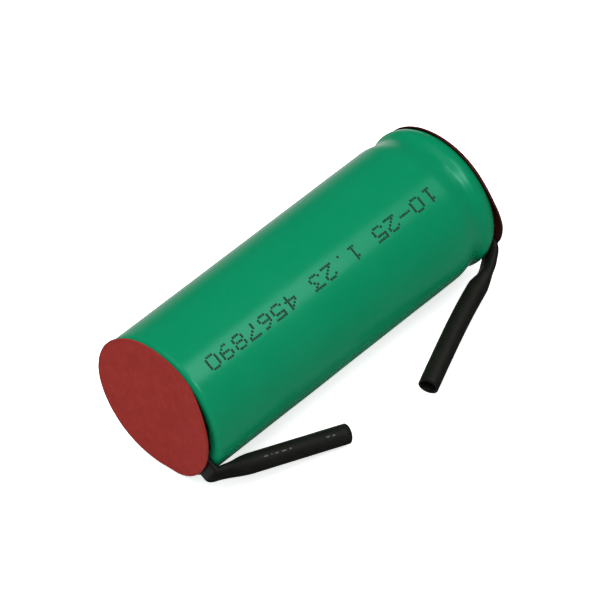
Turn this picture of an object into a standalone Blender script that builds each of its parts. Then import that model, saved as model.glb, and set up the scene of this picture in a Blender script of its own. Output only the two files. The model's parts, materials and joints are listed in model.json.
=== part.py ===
"""Cylindrical rechargeable cell with two insulated solder leads, as the pieces that it comes apart into.

The cell lies on its side: +X runs along its axis from the negative to the positive end, +Z is up,
and the leads fold back along its -Y side. The origin is the middle of the footprint, at the floor.
"""

import math

import bmesh
import bpy
from mathutils import Matrix, Vector

MM = 0.001

# Driving dimensions of the sleeved cell.
CELL_RADIUS = 8.3 * MM
CELL_HALF = 21.45 * MM
SLEEVE_WALL = 0.15 * MM
CAN_WALL = 0.25 * MM
FIT = 0.02 * MM
RECESS = SLEEVE_WALL + FIT
ROUND_STEPS = 40

# Sleeve: turned-in lips, the shoulder over the crimp and the dip over the can's bead.
NEGATIVE_LIP_RADIUS = 6.8 * MM
POSITIVE_LIP_RADIUS = 5.8 * MM
NEGATIVE_CORNER = 0.4 * MM
SHOULDER = 2.0 * MM
DIP_CENTRE = CELL_HALF - 3.0 * MM
DIP_BELOW = 2.6 * MM
DIP_ABOVE = 1.0 * MM
DIP_DEPTH = 0.33 * MM

# Can: bead and crimp. The bead is a little wider than the sleeve's dip.
CAN_RADIUS = CELL_RADIUS - RECESS
CAN_BORE = CAN_RADIUS - CAN_WALL
CAN_BOTTOM = CELL_HALF - RECESS
CAN_TOP = CELL_HALF - 0.4 * MM
CAN_RIM_RADIUS = 5.7 * MM
CRIMP_RADIUS = SHOULDER - RECESS
BEAD_MARGIN = 0.06 * MM
BEAD_DEPTH = 0.9 * MM

# Winding: four strips laid on each other and rolled up together.
WINDING_CORE = 1.5 * MM
WINDING_OUTSIDE = CAN_BORE - 0.08 * MM
WINDING_BOTTOM = 1.0 * MM - CELL_HALF
WINDING_TOP = CELL_HALF - 6.4 * MM
SEPARATOR = 0.12 * MM
POSITIVE_SHEET = 0.62 * MM
NEGATIVE_SHEET = 0.36 * MM
SHEET_GAP = 0.025 * MM
SEPARATOR_OVERHANG = 0.4 * MM
POSITIVE_RISE = 0.7 * MM
STEPS_PER_TURN = 24

# Positive end, from the winding outwards.
COLLECTOR_RADIUS = 6.4 * MM
COLLECTOR_BORE = 1.6 * MM
COLLECTOR_THICKNESS = 0.2 * MM
WASHER_RADIUS = 7.6 * MM
WASHER_THICKNESS = 0.15 * MM
GASKET_BOTTOM = CELL_HALF - 1.74 * MM
GASKET_BORE = 5.9 * MM
COVER_RADIUS = 6.9 * MM
COVER_BOTTOM = CELL_HALF - 1.6 * MM
COVER_TOP = COVER_BOTTOM + 0.45 * MM
VENT_HOLE_RADIUS = 0.8 * MM
CAP_FLANGE_RADIUS = 5.0 * MM
CAP_RADIUS = 3.2 * MM
CAP_WALL = 0.25 * MM
CAP_TOP = CELL_HALF - RECESS
CAP_HOLES = 3
CAP_HOLE_RADIUS = 0.16 * MM
PLUG_RADIUS = 2.3 * MM
PLUG_HEIGHT = 0.4 * MM
STRIP_THICKNESS = 0.12 * MM
STRIP_WIDTH = 3.5 * MM

# Solder tabs and the tubes over them.
TAB_WIDTH = 1.5 * MM
TAB_THICKNESS = 0.12 * MM
TAB_START = -1.5 * MM
TAB_END_IN_TUBE = 3.0 * MM
TUBE_DIAMETER = 2.2 * MM
TUBE_WALL = 0.15 * MM
TUBE_SIDES = 16
TUBE_STATIONS = 4
BOW_STATIONS = 4
BOW_PEAK = 4 / 27
TIP_CLEARANCE = 0.03 * MM
END_GAP = 0.1 * MM

# Layout of each end. Points are (reach, height): reach runs from the cell's axis along the end face
# towards the lead, and height runs out of the face from the sleeve's lip. exit is in degrees below
# the horizontal. tip is the middle of the tube's open end, seen from above the cell's middle. bow is
# how far the free tube curves away from a straight line, a third of the way along it. A disc is
# lifted along its ridge over the tube, at full height within the first half-width and not at all
# past the second.
LEADS = {
    "negative": {
        "side": -1,
        "exit": 27.0,
        "foot": ((4.0, -0.09), (5.4, 0.37)),
        "root": ((5.6, 0.37), (8.35, 0.37)),
        "root_thickness": 0.7,
        "bend": (8.65, 0.37),
        "leg_start": 0.8,
        "round_from": 4.6,
        "tip": (-6.25, -11.8),
        "bow": 0.0,
        "disc": {
            "radius": 8.05, "shift": -0.4, "lift": 1.15, "power": 0.62,
            "turn": 18.0, "ridge": (9.0, 12.0), "drape": 0.0,
        },
    },
    "positive": {
        "side": 1,
        "exit": 30.5,
        "foot": ((4.3, -0.09), (5.6, 0.12), (6.75, 0.33)),
        "root": ((7.02, 0.22), (7.95, -0.33)),
        "root_thickness": 0.5,
        "bend": (8.25, -0.51),
        "leg_start": 0.5,
        "round_from": 4.4,
        "tip": (4.35, -13.5),
        "bow": 0.55,
        "disc": {
            "radius": 7.9, "shift": 0.0, "lift": 0.47, "power": 0.65,
            "turn": 0.0, "ridge": (2.3, 4.8), "drape": 1.0,
        },
    },
}

# End discs: flat as far as this reach, then bent outwards over the tube.
DISC_THICKNESS = 0.25 * MM
DISC_FLAT_REACH = 2.4 * MM
DISC_CROWN_GAP = 0.07 * MM
DISC_RINGS = (0.3, 0.45, 0.58, 0.7, 0.8, 0.86, 0.91, 0.96, 1.0)


def clear_scene():
    for obj in list(bpy.data.objects):
        bpy.data.objects.remove(obj)


def new_collection(name):
    collection = bpy.data.collections.new(name)
    bpy.context.scene.collection.children.link(collection)
    return collection


def finish(name, colour, roughness, metallic=0.0):
    """A plain material for one piece."""
    material = bpy.data.materials.new(name)
    material.use_nodes = True
    shader = material.node_tree.nodes["Principled BSDF"]
    shader.inputs["Base Color"].default_value = (*colour, 1.0)
    shader.inputs["Roughness"].default_value = roughness
    shader.inputs["Metallic"].default_value = metallic
    return material


def add_object(name, data, parent, material, collection):
    obj = bpy.data.objects.new(name, data)
    obj.parent = parent
    data.materials.append(material)
    collection.objects.link(obj)
    return obj


def add_empty(name, parent, matrix, collection):
    """A guide that holds a place and a direction, and isn't a piece."""
    empty = bpy.data.objects.new(name, None)
    empty.empty_display_size = 3 * MM
    empty.parent = parent
    empty.matrix_local = matrix
    collection.objects.link(empty)
    return empty


def arc(centre_r, centre_z, radius, start, end, steps):
    """Points (r, z) of an arc, angles in degrees from the +r direction."""
    points = []
    for step in range(steps + 1):
        angle = math.radians(start + (end - start) * step / steps)
        points.append((centre_r + radius * math.cos(angle), centre_z + radius * math.sin(angle)))
    return points


def groove_depth(height, depth, margin=0.0):
    """How deep the rolled groove is at a height, with a long run-in below and a short one above."""
    offset = height - DIP_CENTRE
    reach = (DIP_ABOVE if offset > 0 else DIP_BELOW) + margin
    return depth * (0.5 + 0.5 * math.cos(math.pi * min(abs(offset) / reach, 1.0)))


def grooved_wall(radius, shoulder, top, depth, margin):
    """Points (r, z) down from the top over a rounded shoulder and through the groove below it."""
    points = arc(radius - shoulder, top - shoulder, shoulder, 90, 0, 6)
    lowest = DIP_CENTRE - DIP_BELOW - margin
    heights = [DIP_CENTRE + 0.5 * DIP_ABOVE, DIP_CENTRE]
    heights += [DIP_CENTRE - DIP_BELOW * share for share in (0.25, 0.5, 0.75)] + [lowest]
    points += [(radius, height) for height in heights]
    return [(r - groove_depth(z, depth, margin), z) for r, z in points]


def ring_profile(inner, outer, bottom, top):
    return [(inner, top), (outer, top), (outer, bottom), (inner, bottom)]


def turned(name, profile, parent, material, collection, closed=True):
    """A profile of (r, z) points, running down its outer side, swept round local Z."""
    mesh = bpy.data.meshes.new(name)
    shape = bmesh.new()
    corners = [shape.verts.new((radius, 0.0, height)) for radius, height in profile]
    for first, second in zip(corners, corners[1:]):
        shape.edges.new((first, second))
    if closed:
        shape.edges.new((corners[-1], corners[0]))
    shape.to_mesh(mesh)
    shape.free()
    obj = add_object(name, mesh, parent, material, collection)
    screw = obj.modifiers.new("turn", "SCREW")
    screw.axis = "Z"
    screw.steps = ROUND_STEPS
    screw.render_steps = ROUND_STEPS
    screw.use_merge_vertices = True
    screw.merge_threshold = 1e-6
    screw.use_smooth_shade = True
    return obj


def add_wall(obj, thickness):
    """Turns an open outer surface into a shell, with its thickness inside it."""
    solidify = obj.modifiers.new("wall", "SOLIDIFY")
    solidify.thickness = thickness
    solidify.offset = -1.0
    solidify.use_even_offset = True
    return solidify


def flat_outline(name, outlines, thickness, parent, material, collection):
    """Closed outlines in local XY, filled and thickened both ways along local Z."""
    curve = bpy.data.curves.new(name, "CURVE")
    curve.dimensions = "2D"
    curve.fill_mode = "BOTH"
    curve.extrude = thickness / 2
    for outline in outlines:
        spline = curve.splines.new("POLY")
        spline.points.add(len(outline) - 1)
        spline.use_cyclic_u = True
        for point, (x, y) in zip(spline.points, outline):
            point.co = (x, y, 0.0, 1.0)
    return add_object(name, curve, parent, material, collection)


def build_sleeve(axis, collection):
    profile = [(POSITIVE_LIP_RADIUS, CELL_HALF)]
    profile += grooved_wall(CELL_RADIUS, SHOULDER, CELL_HALF, DIP_DEPTH, 0.0)
    corner_r = CELL_RADIUS - NEGATIVE_CORNER
    profile += arc(corner_r, NEGATIVE_CORNER - CELL_HALF, NEGATIVE_CORNER, 0, -90, 3)
    profile.append((NEGATIVE_LIP_RADIUS, -CELL_HALF))
    green = finish("green_sleeve", (0.01, 0.26, 0.11), 0.25)
    sleeve = turned("sleeve", profile, axis, green, collection, closed=False)
    add_wall(sleeve, SLEEVE_WALL)


def build_can(axis, collection):
    profile = [(CAN_RIM_RADIUS, CAN_TOP)]
    profile += grooved_wall(CAN_RADIUS, CRIMP_RADIUS, CAN_TOP, BEAD_DEPTH, BEAD_MARGIN)
    profile += arc(CAN_BORE, CAN_WALL - CAN_BOTTOM, CAN_WALL, 0, -90, 2)
    profile.append((0.0, -CAN_BOTTOM))
    steel = finish("nickel_plated_steel", (0.62, 0.61, 0.58), 0.3, 1.0)
    can = turned("can", profile, axis, steel, collection, closed=False)
    add_wall(can, CAN_WALL)


def spiral_outline(inner, thickness, pitch, first_turn, last_turn):
    """Outline of a rolled sheet seen along the cell's axis, from first_turn to last_turn."""
    steps = round((last_turn - first_turn) * STEPS_PER_TURN)
    outside = []
    inside = []
    for step in range(steps + 1):
        turn = first_turn + step / STEPS_PER_TURN
        angle = 2 * math.pi * turn
        radius = inner + pitch * turn
        inside.append((radius * math.cos(angle), radius * math.sin(angle)))
        radius += thickness
        outside.append((radius * math.cos(angle), radius * math.sin(angle)))
    return outside + inside[::-1]


def build_winding(axis, collection):
    """Separator, positive sheet, separator and negative sheet, in that order from the core."""
    sheets = (
        ("inner_separator", SEPARATOR, SEPARATOR_OVERHANG, (0.0, 0.0), (0.93, 0.92, 0.88)),
        ("positive_electrode", POSITIVE_SHEET, 0.0, (0.25, -0.5), (0.10, 0.11, 0.10)),
        ("outer_separator", SEPARATOR, SEPARATOR_OVERHANG, (0.0, 0.0), (0.93, 0.92, 0.88)),
        ("negative_electrode", NEGATIVE_SHEET, 0.0, (0.0, 0.0), (0.16, 0.16, 0.17)),
    )
    pitch = sum(thickness + SHEET_GAP for _, thickness, _, _, _ in sheets)
    room = WINDING_OUTSIDE - WINDING_CORE - pitch
    turns = math.floor(room / pitch * STEPS_PER_TURN) / STEPS_PER_TURN
    inner = WINDING_CORE
    for name, thickness, overhang, (later, earlier), colour in sheets:
        outline = spiral_outline(inner, thickness, pitch, later, turns + earlier)
        top = WINDING_TOP + (POSITIVE_RISE if name == "positive_electrode" else overhang)
        bottom = WINDING_BOTTOM - overhang
        material = finish(name, colour, 0.9)
        sheet = flat_outline(name, [outline], top - bottom, axis, material, collection)
        sheet.location.z = (top + bottom) / 2
        inner += thickness + SHEET_GAP


def build_insulators(axis, collection):
    bottom = CAN_WALL + FIT - CAN_BOTTOM
    profile = ring_profile(2.0 * MM, WASHER_RADIUS, bottom, bottom + WASHER_THICKNESS)
    card = finish("bottom_washer", (0.8, 0.78, 0.7), 0.8)
    turned("bottom_insulator", profile, axis, card, collection)

    bottom = WINDING_TOP + POSITIVE_RISE + COLLECTOR_THICKNESS + 2 * FIT
    profile = ring_profile(3.4 * MM, WASHER_RADIUS, bottom, bottom + WASHER_THICKNESS)
    card = finish("top_washer", (0.8, 0.78, 0.7), 0.8)
    turned("top_insulator", profile, axis, card, collection)

    bottom = CAN_TOP + FIT
    top = CELL_HALF - SLEEVE_WALL - FIT
    profile = ring_profile(CAP_RADIUS + 0.15 * MM, 6.3 * MM, bottom, top)
    paper = finish("paper_ring", (0.85, 0.84, 0.8), 0.85)
    turned("ring_insulator", profile, axis, paper, collection)


def ribbon_outline(path, thickness):
    """Outline of a bent strip seen from its edge, with mitred corners, along points (x, y)."""
    points = [Vector(point) for point in path]
    ways = [(after - before).normalized() for before, after in zip(points, points[1:])]
    upper = []
    lower = []
    for index, point in enumerate(points):
        before = ways[max(index - 1, 0)]
        after = ways[min(index, len(ways) - 1)]
        along = (before + after).normalized()
        across = Vector((-along.y, along.x)) * (thickness / 2 / along.dot(after))
        upper.append(tuple(point + across))
        lower.append(tuple(point - across))
    return lower + upper[::-1]


def build_collector(axis, collection):
    bottom = WINDING_TOP + POSITIVE_RISE + FIT
    top = bottom + COLLECTOR_THICKNESS
    profile = ring_profile(COLLECTOR_BORE, COLLECTOR_RADIUS, bottom, top)
    nickel = finish("collector_nickel", (0.66, 0.64, 0.6), 0.35, 1.0)
    turned("positive_collector", profile, axis, nickel, collection)

    # The folded strip: foot on the collector, riser, and head under the cover plate.
    low = top + FIT + STRIP_THICKNESS / 2
    high = COVER_BOTTOM - FIT - STRIP_THICKNESS / 2
    path = [(-2.8 * MM, low), (3.0 * MM, low), (3.0 * MM, high), (1.2 * MM, high)]
    nickel = finish("strip_nickel", (0.66, 0.64, 0.6), 0.35, 1.0)
    outline = ribbon_outline(path, STRIP_THICKNESS)
    strip = flat_outline("collector_lead", [outline], STRIP_WIDTH, axis, nickel, collection)
    strip.rotation_euler = (math.pi / 2, 0.0, 0.0)


def build_gasket(axis, collection):
    centre_r = CAN_RADIUS - CRIMP_RADIUS
    centre_z = CAN_TOP - CRIMP_RADIUS
    outer = CRIMP_RADIUS - CAN_WALL - FIT
    foot_angle = math.degrees(math.asin((GASKET_BOTTOM - centre_z) / outer))
    profile = [(GASKET_BORE, centre_z + outer)]
    profile += arc(centre_r, centre_z, outer, 90, foot_angle, 5)
    profile += [
        (GASKET_BORE, GASKET_BOTTOM),
        (GASKET_BORE, COVER_BOTTOM - FIT),
        (COVER_RADIUS + FIT, COVER_BOTTOM - FIT),
        (COVER_RADIUS + FIT, COVER_TOP + FIT),
        (GASKET_BORE, COVER_TOP + FIT),
    ]
    plastic = finish("gasket_plastic", (0.75, 0.75, 0.7), 0.5)
    turned("gasket", profile, axis, plastic, collection)


def build_cover_and_vent(axis, collection, cutters):
    profile = ring_profile(VENT_HOLE_RADIUS, COVER_RADIUS, COVER_BOTTOM, COVER_TOP)
    steel = finish("cover_steel", (0.62, 0.61, 0.58), 0.3, 1.0)
    turned("cover_plate", profile, axis, steel, collection)

    bottom = COVER_TOP + FIT
    cap_bore = CAP_RADIUS - CAP_WALL
    profile = [
        (0.0, CAP_TOP),
        (cap_bore, CAP_TOP),
        (CAP_RADIUS, CAP_TOP - CAP_WALL),
        (CAP_RADIUS, bottom + CAP_WALL),
        (CAP_FLANGE_RADIUS, bottom + CAP_WALL),
        (CAP_FLANGE_RADIUS, bottom),
        (cap_bore, bottom),
        (cap_bore, CAP_TOP - CAP_WALL),
        (0.0, CAP_TOP - CAP_WALL),
    ]
    steel = finish("cap_steel", (0.7, 0.69, 0.66), 0.2, 1.0)
    cap = turned("positive_cap", profile, axis, steel, collection, closed=False)
    for hole in range(CAP_HOLES):
        add_cap_hole(cap, hole, axis, cutters)

    chamfer = 0.15 * MM
    plug_top = bottom + PLUG_HEIGHT
    profile = [
        (0.0, plug_top),
        (PLUG_RADIUS - chamfer, plug_top),
        (PLUG_RADIUS, plug_top - chamfer),
        (PLUG_RADIUS, bottom),
        (0.0, bottom),
    ]
    rubber = finish("vent_rubber", (0.03, 0.03, 0.03), 0.7)
    turned("vent_plug", profile, axis, rubber, collection, closed=False)


def add_cap_hole(cap, hole, axis, cutters):
    """One gas hole through the button's side."""
    mesh = bpy.data.meshes.new(f"cap_hole_{hole}")
    shape = bmesh.new()
    bmesh.ops.create_cone(
        shape, cap_ends=True, segments=10, radius1=CAP_HOLE_RADIUS, radius2=CAP_HOLE_RADIUS,
        depth=1 * MM,
    )
    shape.to_mesh(mesh)
    shape.free()
    cutter = bpy.data.objects.new(mesh.name, mesh)
    cutter.parent = axis
    angle = 2 * math.pi * (hole + 0.5) / CAP_HOLES
    height = (COVER_TOP + FIT + CAP_TOP) / 2
    place = Vector((CAP_RADIUS * math.cos(angle), CAP_RADIUS * math.sin(angle), height))
    turn = Matrix.Rotation(angle, 4, "Z") @ Matrix.Rotation(math.pi / 2, 4, "Y")
    cutter.matrix_local = Matrix.Translation(place) @ turn
    cutter.hide_render = True
    cutter.display_type = "WIRE"
    cutters.objects.link(cutter)
    cut = cap.modifiers.new(f"gas_hole_{hole}", "BOOLEAN")
    cut.operation = "DIFFERENCE"
    cut.object = cutter


def disc_offset(across, reach, shape):
    """How far the disc stands off its flat plane, by the bend over the tube and the sleeve's shoulder."""
    turn = math.radians(shape["turn"])
    bent_reach = reach * math.cos(turn) - across * math.sin(turn)
    edge = shape["radius"] * MM
    share = (bent_reach - DISC_FLAT_REACH) / (edge - DISC_FLAT_REACH)
    lift = shape["lift"] * MM * max(share, 0.0) ** shape["power"]
    crown = SHOULDER + DISC_CROWN_GAP
    past_crown = max(math.hypot(across, reach) - (CELL_RADIUS - SHOULDER), 0.0)
    droop = crown - math.sqrt(crown**2 - min(past_crown, 0.9 * crown) ** 2)
    ridge_top, ridge_foot = (half_width * MM for half_width in shape["ridge"])
    on_ridge = min(max((ridge_foot - abs(across)) / (ridge_foot - ridge_top), 0.0), 1.0)
    if reach < 0:
        on_ridge = 0.0
    return lift * on_ridge - shape["drape"] * droop * (1 - on_ridge)


def build_end_disc(name, end, shape, collection):
    """A paper disc in rings of facets, bent outwards along local Y."""
    mesh = bpy.data.meshes.new(name)
    disc = bmesh.new()
    rings = []
    for side in (-1, 1):
        for share in DISC_RINGS:
            radius = share * shape["radius"] * MM
            ring = []
            for step in range(ROUND_STEPS):
                angle = 2 * math.pi * step / ROUND_STEPS
                reach = radius * math.cos(angle) + shape["shift"] * MM
                across = radius * math.sin(angle)
                height = disc_offset(across, reach, shape) + side * DISC_THICKNESS / 2
                ring.append(disc.verts.new((reach, height, across)))
            rings.append(ring)
    under = rings[: len(DISC_RINGS)]
    above = rings[len(DISC_RINGS) :]
    loop = under + above[::-1]
    for first, second in zip(loop, loop[1:]):
        for step in range(ROUND_STEPS):
            after = (step + 1) % ROUND_STEPS
            disc.faces.new((first[step], first[after], second[after], second[step]))
    disc.faces.new(under[0])
    disc.faces.new(above[0])
    bmesh.ops.recalc_face_normals(disc, faces=disc.faces[:])
    disc.to_mesh(mesh)
    disc.free()
    obj = add_object(name, mesh, end, finish(name, (0.25, 0.03, 0.02), 0.75), collection)
    obj.location.y = CELL_HALF + FIT + DISC_THICKNESS / 2


def rounded_section(width, thickness, sides):
    """Points (across, through) of a flattened round, with straight sides between its half-rounds."""
    points = []
    for side in range(sides):
        angle = 2 * math.pi * (side + 0.5) / sides
        across = thickness / 2 * math.cos(angle)
        across += math.copysign((width - thickness) / 2, across)
        points.append((across, thickness / 2 * math.sin(angle)))
    return points


def flattened_width(thickness):
    """Width of the tube where it is pressed to this thickness and keeps its girth."""
    return thickness + math.pi * (TUBE_DIAMETER - thickness) / 2


def in_end_frame(point):
    """A layout point, in millimetres from the lip's plane, as a point in the end's own axes."""
    reach, height = point
    return (reach * MM, CELL_HALF + height * MM)


def build_tab_foot(name, end, layout, collection):
    """The strip from its weld, over the sleeve's lip and through the root, to the bend."""
    start = (TAB_START / MM, layout["foot"][0][1])
    path = [in_end_frame(point) for point in (start, *layout["foot"], *layout["root"])]
    outline = ribbon_outline(path, TAB_THICKNESS)
    material = finish(name, (0.66, 0.64, 0.6), 0.3, 1.0)
    flat_outline(name, [outline], TAB_WIDTH, end, material, collection)


def build_tube_root(name, end, layout, collection):
    """The flattened stretch of tube under the disc, swept along the root's line."""
    start, finish_point = (Vector(in_end_frame(point)) for point in layout["root"])
    thickness = layout["root_thickness"] * MM
    width = flattened_width(thickness)
    outer = rounded_section(width, thickness, TUBE_SIDES)
    inner = rounded_section(width - 2 * TUBE_WALL, thickness - 2 * TUBE_WALL, TUBE_SIDES)
    material = finish(name, (0.015, 0.015, 0.013), 0.45)
    length = (finish_point - start).length - END_GAP
    root = flat_outline(name, [outer, inner], length, end, material, collection)
    slope = math.atan2(finish_point.y - start.y, finish_point.x - start.x)
    middle = (start + finish_point) / 2
    place = Matrix.Translation((middle.x, middle.y, 0.0))
    root.matrix_local = place @ Matrix.Rotation(slope, 4, "Z") @ Matrix.Rotation(math.pi / 2, 4, "Y")


def build_tube_leg(name, lead, layout, length, collection):
    """The free stretch along local X: a loft from the flattened section to the round one."""
    start = layout["leg_start"] * MM
    round_from = layout["round_from"] * MM
    root_thickness = layout["root_thickness"] * MM
    stations = [start + (round_from - start) * step / TUBE_STATIONS for step in range(TUBE_STATIONS)]
    stations += [round_from + (length - round_from) * step / BOW_STATIONS for step in range(BOW_STATIONS)]
    stations.append(length)
    mesh = bpy.data.meshes.new(name)
    shape = bmesh.new()
    skins = []
    for inset in (0.0, TUBE_WALL):
        skin = []
        for along in stations:
            pressed = min(along / round_from, 1.0)
            thickness = root_thickness + (TUBE_DIAMETER - root_thickness) * pressed
            section = rounded_section(
                flattened_width(thickness) - 2 * inset, thickness - 2 * inset, TUBE_SIDES
            )
            share = along / length
            aside = layout["bow"] * MM * share * (1 - share) ** 2 / BOW_PEAK
            skin.append([shape.verts.new((along, aside + through, across)) for across, through in section])
        skins.append(skin)
    outer, inner = skins
    pairs = list(zip(outer, outer[1:]))
    pairs += [(second, first) for first, second in zip(inner, inner[1:])]
    pairs += [(inner[0], outer[0]), (outer[-1], inner[-1])]
    for first, second in pairs:
        for side in range(TUBE_SIDES):
            after = (side + 1) % TUBE_SIDES
            shape.faces.new((first[side], first[after], second[after], second[side]))
    bmesh.ops.recalc_face_normals(shape, faces=shape.faces[:])
    shape.to_mesh(mesh)
    shape.free()
    mesh.shade_smooth()
    mesh.set_sharp_from_angle(angle=math.radians(40))
    add_object(name, mesh, lead, finish(name, (0.015, 0.015, 0.013), 0.45), collection)


def build_tab_leg(name, lead, length, collection):
    """The free stretch of the strip, which ends inside its tube."""
    start = 3 * END_GAP
    end = length - TAB_END_IN_TUBE
    mesh = bpy.data.meshes.new(name)
    shape = bmesh.new()
    size = Matrix.Diagonal((end - start, TAB_THICKNESS, TAB_WIDTH, 1.0))
    bmesh.ops.create_cube(shape, size=1.0, matrix=size)
    shape.to_mesh(mesh)
    shape.free()
    leg = add_object(name, mesh, lead, finish(name, (0.66, 0.64, 0.6), 0.3, 1.0), collection)
    leg.location.x = (start + end) / 2


def axes_matrix(x_axis, y_axis, z_axis, place):
    """A placement from three unit directions and a point."""
    matrix = Matrix((x_axis, y_axis, z_axis)).transposed().to_4x4()
    matrix.translation = place
    return matrix


def build_lead(polarity, layout, middle_empty, guides, collection):
    """The end frame: local X runs out towards the lead's exit, local Y out of the end face."""
    below = math.radians(layout["exit"])
    exit_way = Vector((0.0, -math.cos(below), -math.sin(below)))
    outward = Vector((layout["side"], 0.0, 0.0))
    across = exit_way.cross(outward)
    frame = axes_matrix(exit_way, outward, across, Vector())
    end = add_empty(f"{polarity}_end", middle_empty, frame, guides)
    build_end_disc(f"{polarity}_end_disc", end, layout["disc"], collection)
    build_tab_foot(f"{polarity}_tab_foot", end, layout, collection)
    build_tube_root(f"{polarity}_tube_root", end, layout, collection)

    pivot = Vector((*in_end_frame(layout["bend"]), 0.0))
    tip_height = TUBE_DIAMETER / 2 + TIP_CLEARANCE - CELL_RADIUS
    tip_x, tip_y = layout["tip"]
    tip = frame.inverted() @ Vector((tip_x * MM, tip_y * MM, tip_height))
    along = (tip - pivot).normalized()
    length = (tip - pivot).length
    width_way = Vector((0.0, 0.0, 1.0))
    width_way = (width_way - along * along.z).normalized()
    through = width_way.cross(along)
    placement = axes_matrix(along, through, width_way, pivot)
    lead = add_empty(f"{polarity}_lead_bend", end, placement, guides)
    build_tube_leg(f"{polarity}_tube", lead, layout, length, collection)
    build_tab_leg(f"{polarity}_tab_leg", lead, length, collection)


def stand_on_origin(middle_empty, collection):
    """Moves the whole cell so that the origin is the middle of its footprint, at the floor."""
    bpy.context.view_layer.update()
    graph = bpy.context.evaluated_depsgraph_get()
    corners = []
    for obj in collection.objects:
        placed = obj.evaluated_get(graph)
        mesh = placed.to_mesh()
        corners += [placed.matrix_world @ vert.co for vert in mesh.vertices]
        placed.to_mesh_clear()
    low = Vector([min(corner[axis] for corner in corners) for axis in range(3)])
    high = Vector([max(corner[axis] for corner in corners) for axis in range(3)])
    middle_empty.location -= Vector(((low.x + high.x) / 2, (low.y + high.y) / 2, low.z))


def build():
    clear_scene()
    cell = new_collection("cylindrical_cell")
    cutters = new_collection("cutters")
    guides = new_collection("guides")
    middle = add_empty("cell_middle", None, Matrix.Translation((0.0, 0.0, CELL_RADIUS)), guides)
    # Turned pieces are drawn round local Z, and lie on a facet rather than on an edge.
    half_facet = Matrix.Rotation(math.pi / ROUND_STEPS, 4, "Z")
    axis = add_empty("cell_axis", middle, Matrix.Rotation(math.pi / 2, 4, "Y") @ half_facet, guides)

    build_sleeve(axis, cell)
    build_can(axis, cell)
    build_winding(axis, cell)
    build_insulators(axis, cell)
    build_collector(axis, cell)
    build_gasket(axis, cell)
    build_cover_and_vent(axis, cell, cutters)
    for polarity, layout in LEADS.items():
        build_lead(polarity, layout, middle, guides, cell)
    stand_on_origin(middle, cell)


build()
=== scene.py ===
# %% [markdown]
# # A rechargeable cell with two insulated leads
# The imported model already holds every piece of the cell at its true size. This lesson dresses it: it
# makes a fine version of the pieces that show, gives every piece a finish, and lights it all. The frame
# is loaded first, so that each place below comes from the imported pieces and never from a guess.

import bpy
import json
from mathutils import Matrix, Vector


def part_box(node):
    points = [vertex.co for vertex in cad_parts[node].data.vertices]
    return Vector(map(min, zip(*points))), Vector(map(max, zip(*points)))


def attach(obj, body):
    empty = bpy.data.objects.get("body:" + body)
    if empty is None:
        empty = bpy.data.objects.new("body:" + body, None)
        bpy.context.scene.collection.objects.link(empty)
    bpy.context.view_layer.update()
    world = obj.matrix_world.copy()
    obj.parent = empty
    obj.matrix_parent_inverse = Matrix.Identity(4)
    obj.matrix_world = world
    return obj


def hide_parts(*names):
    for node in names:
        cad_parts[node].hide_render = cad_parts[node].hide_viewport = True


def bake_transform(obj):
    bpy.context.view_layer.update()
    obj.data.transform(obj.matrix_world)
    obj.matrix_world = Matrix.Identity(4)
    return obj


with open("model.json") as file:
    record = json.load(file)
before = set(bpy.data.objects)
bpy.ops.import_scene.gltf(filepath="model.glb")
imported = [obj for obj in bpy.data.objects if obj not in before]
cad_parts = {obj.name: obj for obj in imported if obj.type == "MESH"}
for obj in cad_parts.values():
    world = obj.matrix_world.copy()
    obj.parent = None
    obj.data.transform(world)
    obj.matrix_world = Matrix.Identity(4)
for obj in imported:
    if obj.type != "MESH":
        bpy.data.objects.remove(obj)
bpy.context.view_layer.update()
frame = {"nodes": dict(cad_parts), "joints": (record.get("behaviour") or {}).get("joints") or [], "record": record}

# %% Modules and units
import json
import math

import bmesh
import bpy
from mathutils import Matrix, Vector, geometry, noise

MM = 0.001
DEGREE = math.pi / 180

# %% [markdown]
# ## Where things are
# The sleeve's box gives the middle of the cell, half its length and its radius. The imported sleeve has
# forty flat sides and lies on one of them, so its box is a little smaller than the true circle. Each
# lead's hinge gives the way that the lead leaves its end face.

# %% Middle, length and radius
CAD_SIDES = 40
sleeve_low, sleeve_high = (Vector(corner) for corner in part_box("sleeve"))
MIDDLE = (sleeve_low + sleeve_high) / 2
HALF = (sleeve_high.x - sleeve_low.x) / 2
RADIUS = (sleeve_high.z - sleeve_low.z) / 2 / math.cos(math.pi / CAD_SIDES)
print(f"cell radius {RADIUS / MM:.2f} mm, half length {HALF / MM:.2f} mm")


# %% The axes of each end
def end_axes(joint_name):
    """The hinge's place, the lead's way out, the end face's way out, and the hinge's axis."""
    joint = next(joint for joint in frame["joints"] if joint["name"] == joint_name)
    pivot = Vector(joint["pos_m"])
    across = Vector(joint["axis"]).normalized()
    outward = Vector((math.copysign(1.0, pivot.x), 0.0, 0.0))
    return pivot, outward.cross(across), outward, across


def at_end(axes, reach, height, across=0.0):
    """A point given in millimetres: along the end face from the axis, out of the face, and across."""
    _, exit_way, outward, across_way = axes
    return MIDDLE + exit_way * reach * MM + outward * (HALF + height * MM) + across_way * across * MM


ENDS = {name: end_axes(f"{name}_lead_bend") for name in ("negative", "positive")}
for name, axes in ENDS.items():
    print(name, "lead leaves towards", [round(value, 3) for value in axes[1]])

# %% [markdown]
# ## Camera
# A long lens from far away keeps the cell's two ends nearly the same width. The camera stands at the
# negative end's side, well above the cell, and looks at a point a little beyond its middle.

# %% Camera
AZIMUTH = -46.96 * DEGREE
ELEVATION = 46.10 * DEGREE
DISTANCE = 527.6 * MM
AIM = MIDDLE + Vector((5.20, 5.43, -8.3)) * MM

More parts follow.
